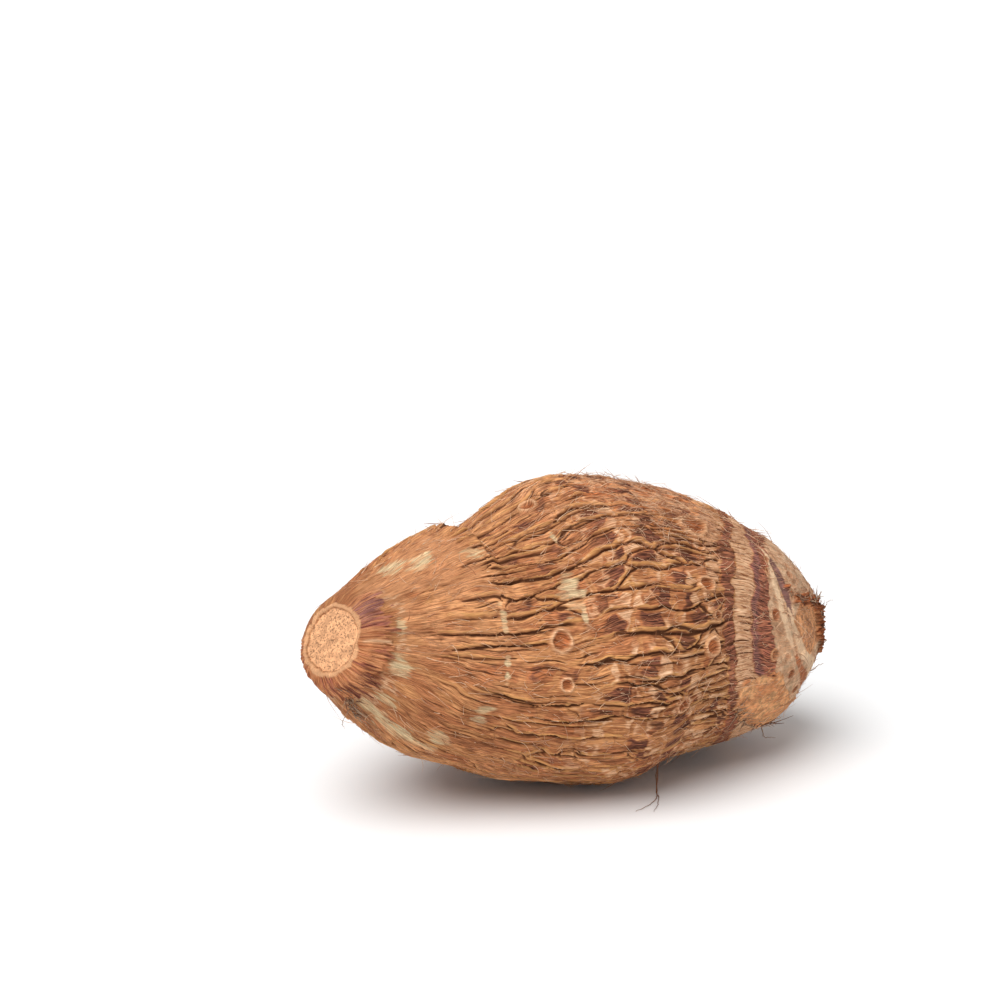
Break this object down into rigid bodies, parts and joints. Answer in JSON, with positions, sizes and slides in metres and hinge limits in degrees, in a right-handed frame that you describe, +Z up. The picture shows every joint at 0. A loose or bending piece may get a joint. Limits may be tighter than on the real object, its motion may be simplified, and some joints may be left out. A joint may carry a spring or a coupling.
{
  "type": "taro root",
  "caption": "Barrel-shaped taro corm lying on its side, with a round break scar at the narrow end, wrinkled fibrous skin in rings and a blunt shoot end.",
  "frame": {"origin": "on the surface that the corm rests on, under the middle of its box", "axes": "+Z up, +X along the corm towards the shoot end"},
  "size_m": [0.1894, 0.1058, 0.1],
  "materials": {
    "corm_skin": "dry fibrous skin, orange-brown with dark purple-brown bands, matte"
  },
  "bodies": {
    "root": {"taro_corm": "corm_skin"}
  },
  "joints": []
}
